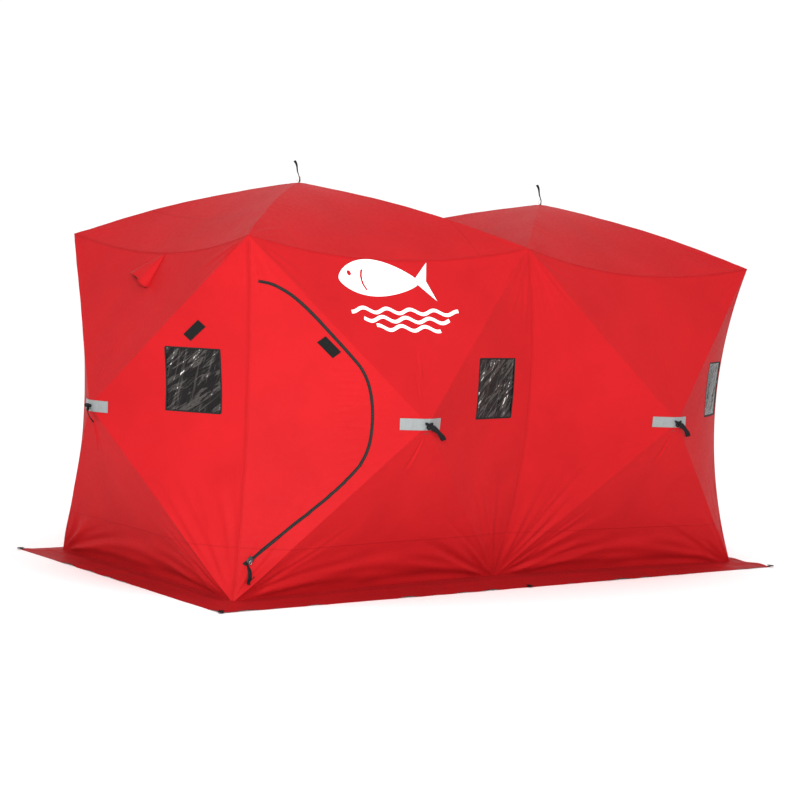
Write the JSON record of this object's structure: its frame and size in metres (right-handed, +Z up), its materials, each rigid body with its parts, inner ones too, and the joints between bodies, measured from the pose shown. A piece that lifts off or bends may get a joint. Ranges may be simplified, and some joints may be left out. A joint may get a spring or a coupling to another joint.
{
  "type": "ice fishing shelter",
  "caption": "Two-bay pop-up hub shelter for ice fishing: red cloth walls and roof on hubs and rods, with a zip door, windows, a vent and a snow skirt.",
  "frame": {"origin": "on the ground under the middle of the shelter", "axes": "+X along the two bays, the door wall faces -Y, +Z up"},
  "size_m": [4.196, 2.4178, 2.2434],
  "materials": {
    "shelter_cloth": "coated polyester oxford cloth, satin",
    "skirt_cloth": "coated polyester cloth, matt",
    "window_film": "creased clear film over a dark inside",
    "hub_plastic": "moulded nylon",
    "rod_fibreglass": "pultruded glass fibre",
    "zip_metal": "die-cast zip metal",
    "webbing": "woven webbing"
  },
  "bodies": {
    "root": {"front_left_wall": "shelter_cloth", "front_left_window": "window_film", "front_right_wall": "shelter_cloth", "front_right_window": "window_film", "back_left_wall": "shelter_cloth", "back_left_window": "window_film", "back_right_wall": "shelter_cloth", "back_right_window": "window_film", "left_end_wall": "shelter_cloth", "left_end_window": "window_film", "right_end_wall": "shelter_cloth", "right_end_window": "window_film", "left_roof": "shelter_cloth", "right_roof": "shelter_cloth", "left_end_vent": "shelter_cloth", "skirt": "skirt_cloth"},
    "front_left_hub": {"front_left_hub": "hub_plastic"},
    "front_left_rod_1": {"front_left_rod_1": "rod_fibreglass"},
    "front_left_rod_2": {"front_left_rod_2": "rod_fibreglass"},
    "front_left_rod_3": {"front_left_rod_3": "rod_fibreglass"},
    "front_left_rod_4": {"front_left_rod_4": "rod_fibreglass"},
    "front_right_hub": {"front_right_hub": "hub_plastic"},
    "front_right_rod_1": {"front_right_rod_1": "rod_fibreglass"},
    "front_right_rod_2": {"front_right_rod_2": "rod_fibreglass"},
    "front_right_rod_3": {"front_right_rod_3": "rod_fibreglass"},
    "front_right_rod_4": {"front_right_rod_4": "rod_fibreglass"},
    "back_left_hub": {"back_left_hub": "hub_plastic"},
    "back_left_rod_1": {"back_left_rod_1": "rod_fibreglass"},
    "back_left_rod_2": {"back_left_rod_2": "rod_fibreglass"},
    "back_left_rod_3": {"back_left_rod_3": "rod_fibreglass"},
    "back_left_rod_4": {"back_left_rod_4": "rod_fibreglass"},
    "back_right_hub": {"back_right_hub": "hub_plastic"},
    "back_right_rod_1": {"back_right_rod_1": "rod_fibreglass"},
    "back_right_rod_2": {"back_right_rod_2": "rod_fibreglass"},
    "back_right_rod_3": {"back_right_rod_3": "rod_fibreglass"},
    "back_right_rod_4": {"back_right_rod_4": "rod_fibreglass"},
    "left_end_hub": {"left_end_hub": "hub_plastic"},
    "left_end_rod_1": {"left_end_rod_1": "rod_fibreglass"},
    "left_end_rod_2": {"left_end_rod_2": "rod_fibreglass"},
    "left_end_rod_3": {"left_end_rod_3": "rod_fibreglass"},
    "left_end_rod_4": {"left_end_rod_4": "rod_fibreglass"},
    "right_end_hub": {"right_end_hub": "hub_plastic"},
    "right_end_rod_1": {"right_end_rod_1": "rod_fibreglass"},
    "right_end_rod_2": {"right_end_rod_2": "rod_fibreglass"},
    "right_end_rod_3": {"right_end_rod_3": "rod_fibreglass"},
    "right_end_rod_4": {"right_end_rod_4": "rod_fibreglass"},
    "left_roof_hub": {"left_roof_hub": "hub_plastic", "left_roof_strap": "webbing"},
    "left_roof_rod_1": {"left_roof_rod_1": "rod_fibreglass"},
    "left_roof_rod_2": {"left_roof_rod_2": "rod_fibreglass"},
    "left_roof_rod_3": {"left_roof_rod_3": "rod_fibreglass"},
    "left_roof_rod_4": {"left_roof_rod_4": "rod_fibreglass"},
    "right_roof_hub": {"right_roof_hub": "hub_plastic", "right_roof_strap": "webbing"},
    "right_roof_rod_1": {"right_roof_rod_1": "rod_fibreglass"},
    "right_roof_rod_2": {"right_roof_rod_2": "rod_fibreglass"},
    "right_roof_rod_3": {"right_roof_rod_3": "rod_fibreglass"},
    "right_roof_rod_4": {"right_roof_rod_4": "rod_fibreglass"},
    "door": {"door_panel": "shelter_cloth"},
    "door_slider": {"door_slider": "zip_metal"}
  },
  "joints": [
    {"name": "front_left_hub_push", "type": "slide", "parent": "root", "child": "front_left_hub", "axis": [0, 1, 0], "range_m": [0, 0.27]},
    {"name": "front_left_rod_1_swing", "type": "hinge", "parent": "front_left_hub", "child": "front_left_rod_1", "pos_m": [-0.91687, -1.19, 0.87313], "axis": [-0.7071, 0, 0.7071], "range_deg": [-1, 14]},
    {"name": "front_left_rod_2_swing", "type": "hinge", "parent": "front_left_hub", "child": "front_left_rod_2", "pos_m": [-0.86313, -1.19, 0.87313], "axis": [-0.7071, 0, -0.7071], "range_deg": [-1, 13.9]},
    {"name": "front_left_rod_3_swing", "type": "hinge", "parent": "front_left_hub", "child": "front_left_rod_3", "pos_m": [-0.86358, -1.19, 0.92731], "axis": [0.7187, 0, -0.6953], "range_deg": [-1, 13.9]},
    {"name": "front_left_rod_4_swing", "type": "hinge", "parent": "front_left_hub", "child": "front_left_rod_4", "pos_m": [-0.91687, -1.19, 0.92687], "axis": [0.7071, 0, 0.7071], "range_deg": [-1, 14]},
    {"name": "front_right_hub_push", "type": "slide", "parent": "root", "child": "front_right_hub", "axis": [0, 1, 0], "range_m": [0, 0.55]},
    {"name": "front_right_rod_1_swing", "type": "hinge", "parent": "front_right_hub", "child": "front_right_rod_1", "pos_m": [0.86313, -1.19, 0.87313], "axis": [-0.7071, 0, 0.7071], "range_deg": [-1, 25.9]},
    {"name": "front_right_rod_2_swing", "type": "hinge", "parent": "front_right_hub", "child": "front_right_rod_2", "pos_m": [0.91687, -1.19, 0.87313], "axis": [-0.7071, 0, -0.7071], "range_deg": [-1, 26.4]},
    {"name": "front_right_rod_3_swing", "type": "hinge", "parent": "front_right_hub", "child": "front_right_rod_3", "pos_m": [0.91687, -1.19, 0.92687], "axis": [0.7071, 0, -0.7071], "range_deg": [-1, 26.4]},
    {"name": "front_right_rod_4_swing", "type": "hinge", "parent": "front_right_hub", "child": "front_right_rod_4", "pos_m": [0.86358, -1.19, 0.92731], "axis": [0.7187, 0, 0.6953], "range_deg": [-1, 26.1]},
    {"name": "back_left_hub_push", "type": "slide", "parent": "root", "child": "back_left_hub", "axis": [0, -1, 0], "range_m": [0, 0.55]},
    {"name": "back_left_rod_1_swing", "type": "hinge", "parent": "back_left_hub", "child": "back_left_rod_1", "pos_m": [-0.86313, 1.19, 0.87313], "axis": [0.7071, 0, 0.7071], "range_deg": [-1, 25.9]},
    {"name": "back_left_rod_2_swing", "type": "hinge", "parent": "back_left_hub", "child": "back_left_rod_2", "pos_m": [-0.91687, 1.19, 0.87313], "axis": [0.7071, 0, -0.7071], "range_deg": [-1, 26.4]},
    {"name": "back_left_rod_3_swing", "type": "hinge", "parent": "back_left_hub", "child": "back_left_rod_3", "pos_m": [-0.91687, 1.19, 0.92687], "axis": [-0.7071, 0, -0.7071], "range_deg": [-1, 26.4]},
    {"name": "back_left_rod_4_swing", "type": "hinge", "parent": "back_left_hub", "child": "back_left_rod_4", "pos_m": [-0.86358, 1.19, 0.92731], "axis": [-0.7187, 0, 0.6953], "range_deg": [-1, 26.1]},
    {"name": "back_right_hub_push", "type": "slide", "parent": "root", "child": "back_right_hub", "axis": [0, -1, 0], "range_m": [0, 0.55]},
    {"name": "back_right_rod_1_swing", "type": "hinge", "parent": "back_right_hub", "child": "back_right_rod_1", "pos_m": [0.91687, 1.19, 0.87313], "axis": [0.7071, 0, 0.7071], "range_deg": [-1, 26.4]},
    {"name": "back_right_rod_2_swing", "type": "hinge", "parent": "back_right_hub", "child": "back_right_rod_2", "pos_m": [0.86313, 1.19, 0.87313], "axis": [0.7071, 0, -0.7071], "range_deg": [-1, 25.9]},
    {"name": "back_right_rod_3_swing", "type": "hinge", "parent": "back_right_hub", "child": "back_right_rod_3", "pos_m": [0.86358, 1.19, 0.92731], "axis": [-0.7187, 0, -0.6953], "range_deg": [-1, 26.1]},
    {"name": "back_right_rod_4_swing", "type": "hinge", "parent": "back_right_hub", "child": "back_right_rod_4", "pos_m": [0.91687, 1.19, 0.92687], "axis": [-0.7071, 0, 0.7071], "range_deg": [-1, 26.4]},
    {"name": "left_end_hub_push", "type": "slide", "parent": "root", "child": "left_end_hub", "axis": [1, 0, 0], "range_m": [0, 0.55]},
    {"name": "left_end_rod_1_swing", "type": "hinge", "parent": "left_end_hub", "child": "left_end_rod_1", "pos_m": [-2.08, 0.02687, 0.87313], "axis": [0, 0.7071, 0.7071], "range_deg": [-1, 26.4]},
    {"name": "left_end_rod_2_swing", "type": "hinge", "parent": "left_end_hub", "child": "left_end_rod_2", "pos_m": [-2.08, -0.02687, 0.87313], "axis": [0, 0.7071, -0.7071], "range_deg": [-1, 26.4]},
    {"name": "left_end_rod_3_swing", "type": "hinge", "parent": "left_end_hub", "child": "left_end_rod_3", "pos_m": [-2.08, -0.02687, 0.92687], "axis": [0, -0.7071, -0.7071], "range_deg": [-1, 26.4]},
    {"name": "left_end_rod_4_swing", "type": "hinge", "parent": "left_end_hub", "child": "left_end_rod_4", "pos_m": [-2.08, 0.02687, 0.92687], "axis": [0, -0.7071, 0.7071], "range_deg": [-1, 26.4]},
    {"name": "right_end_hub_push", "type": "slide", "parent": "root", "child": "right_end_hub", "axis": [-1, 0, 0], "range_m": [0, 0.55]},
    {"name": "right_end_rod_1_swing", "type": "hinge", "parent": "right_end_hub", "child": "right_end_rod_1", "pos_m": [2.08, -0.02687, 0.87313], "axis": [0, -0.7071, 0.7071], "range_deg": [-1, 26.4]},
    {"name": "right_end_rod_2_swing", "type": "hinge", "parent": "right_end_hub", "child": "right_end_rod_2", "pos_m": [2.08, 0.02687, 0.87313], "axis": [0, -0.7071, -0.7071], "range_deg": [-1, 26.4]},
    {"name": "right_end_rod_3_swing", "type": "hinge", "parent": "right_end_hub", "child": "right_end_rod_3", "pos_m": [2.08, 0.02687, 0.92687], "axis": [0, 0.7071, -0.7071], "range_deg": [-1, 26.4]},
    {"name": "right_end_rod_4_swing", "type": "hinge", "parent": "right_end_hub", "child": "right_end_rod_4", "pos_m": [2.08, -0.02687, 0.92687], "axis": [0, 0.7071, 0.7071], "range_deg": [-1, 26.4]},
    {"name": "left_roof_hub_push", "type": "slide", "parent": "root", "child": "left_roof_hub", "axis": [0, 0, -1], "range_m": [0, 0.5]},
    {"name": "left_roof_rod_1_swing", "type": "hinge", "parent": "left_roof_hub", "child": "left_roof_rod_1", "pos_m": [-0.91687, -0.02687, 2.085], "axis": [-0.7071, 0.7071, 0], "range_deg": [-1, 24.2]},
    {"name": "left_roof_rod_2_swing", "type": "hinge", "parent": "left_roof_hub", "child": "left_roof_rod_2", "pos_m": [-0.86335, -0.02709, 2.085], "axis": [-0.713, -0.7012, 0], "range_deg": [-1, 24.1]},
    {"name": "left_roof_rod_3_swing", "type": "hinge", "parent": "left_roof_hub", "child": "left_roof_rod_3", "pos_m": [-0.86335, 0.02709, 2.085], "axis": [0.713, -0.7012, 0], "range_deg": [-1, 24.1]},
    {"name": "left_roof_rod_4_swing", "type": "hinge", "parent": "left_roof_hub", "child": "left_roof_rod_4", "pos_m": [-0.91687, 0.02687, 2.085], "axis": [0.7071, 0.7071, 0], "range_deg": [-1, 24.2]},
    {"name": "right_roof_hub_push", "type": "slide", "parent": "root", "child": "right_roof_hub", "axis": [0, 0, -1], "range_m": [0, 0.5]},
    {"name": "right_roof_rod_1_swing", "type": "hinge", "parent": "right_roof_hub", "child": "right_roof_rod_1", "pos_m": [0.86335, -0.02709, 2.085], "axis": [-0.713, 0.7012, 0], "range_deg": [-1, 24.1]},
    {"name": "right_roof_rod_2_swing", "type": "hinge", "parent": "right_roof_hub", "child": "right_roof_rod_2", "pos_m": [0.91687, -0.02687, 2.085], "axis": [-0.7071, -0.7071, 0], "range_deg": [-1, 24.2]},
    {"name": "right_roof_rod_3_swing", "type": "hinge", "parent": "right_roof_hub", "child": "right_roof_rod_3", "pos_m": [0.91687, 0.02687, 2.085], "axis": [0.7071, -0.7071, 0], "range_deg": [-1, 24.2]},
    {"name": "right_roof_rod_4_swing", "type": "hinge", "parent": "right_roof_hub", "child": "right_roof_rod_4", "pos_m": [0.86335, 0.02709, 2.085], "axis": [0.713, 0.7012, 0], "range_deg": [-1, 24.1]},
    {"name": "door_hinge", "type": "hinge", "parent": "root", "child": "door", "pos_m": [-1.655, -0.892, 0.9], "axis": [0, 0, -1], "range_deg": [0, 80]},
    {"name": "zip_slide", "type": "slide", "parent": "root", "child": "door_slider", "axis": [0.6976, -0.311, 0.6455], "range_m": [0, 0.59]}
  ],
  "couplings": [
    {"joint": "front_left_rod_1_swing", "follows": "front_left_hub_push", "rad_per_m": 0.77821},
    {"joint": "front_left_rod_2_swing", "follows": "front_left_hub_push", "rad_per_m": 0.77006},
    {"joint": "front_left_rod_3_swing", "follows": "front_left_hub_push", "rad_per_m": 0.76662},
    {"joint": "front_left_rod_4_swing", "follows": "front_left_hub_push", "rad_per_m": 0.77821},
    {"joint": "front_right_rod_1_swing", "follows": "front_right_hub_push", "rad_per_m": 0.75776},
    {"joint": "front_right_rod_2_swing", "follows": "front_right_hub_push", "rad_per_m": 0.77384},
    {"joint": "front_right_rod_3_swing", "follows": "front_right_hub_push", "rad_per_m": 0.77384},
    {"joint": "front_right_rod_4_swing", "follows": "front_right_hub_push", "rad_per_m": 0.76336},
    {"joint": "back_left_rod_1_swing", "follows": "back_left_hub_push", "rad_per_m": 0.75776},
    {"joint": "back_left_rod_2_swing", "follows": "back_left_hub_push", "rad_per_m": 0.77384},
    {"joint": "back_left_rod_3_swing", "follows": "back_left_hub_push", "rad_per_m": 0.77384},
    {"joint": "back_left_rod_4_swing", "follows": "back_left_hub_push", "rad_per_m": 0.76336},
    {"joint": "back_right_rod_1_swing", "follows": "back_right_hub_push", "rad_per_m": 0.77384},
    {"joint": "back_right_rod_2_swing", "follows": "back_right_hub_push", "rad_per_m": 0.75776},
    {"joint": "back_right_rod_3_swing", "follows": "back_right_hub_push", "rad_per_m": 0.76336},
    {"joint": "back_right_rod_4_swing", "follows": "back_right_hub_push", "rad_per_m": 0.77384},
    {"joint": "left_end_rod_1_swing", "follows": "left_end_hub_push", "rad_per_m": 0.77384},
    {"joint": "left_end_rod_2_swing", "follows": "left_end_hub_push", "rad_per_m": 0.77384},
    {"joint": "left_end_rod_3_swing", "follows": "left_end_hub_push", "rad_per_m": 0.77384},
    {"joint": "left_end_rod_4_swing", "follows": "left_end_hub_push", "rad_per_m": 0.77384},
    {"joint": "right_end_rod_1_swing", "follows": "right_end_hub_push", "rad_per_m": 0.77384},
    {"joint": "right_end_rod_2_swing", "follows": "right_end_hub_push", "rad_per_m": 0.77384},
    {"joint": "right_end_rod_3_swing", "follows": "right_end_hub_push", "rad_per_m": 0.77384},
    {"joint": "right_end_rod_4_swing", "follows": "right_end_hub_push", "rad_per_m": 0.77384},
    {"joint": "left_roof_rod_1_swing", "follows": "left_roof_hub_push", "rad_per_m": 0.7743},
    {"joint": "left_roof_rod_2_swing", "follows": "left_roof_hub_push", "rad_per_m": 0.77151},
    {"joint": "left_roof_rod_3_swing", "follows": "left_roof_hub_push", "rad_per_m": 0.77151},
    {"joint": "left_roof_rod_4_swing", "follows": "left_roof_hub_push", "rad_per_m": 0.7743},
    {"joint": "right_roof_rod_1_swing", "follows": "right_roof_hub_push", "rad_per_m": 0.77151},
    {"joint": "right_roof_rod_2_swing", "follows": "right_roof_hub_push", "rad_per_m": 0.7743},
    {"joint": "right_roof_rod_3_swing", "follows": "right_roof_hub_push", "rad_per_m": 0.7743},
    {"joint": "right_roof_rod_4_swing", "follows": "right_roof_hub_push", "rad_per_m": 0.77151}
  ]
}
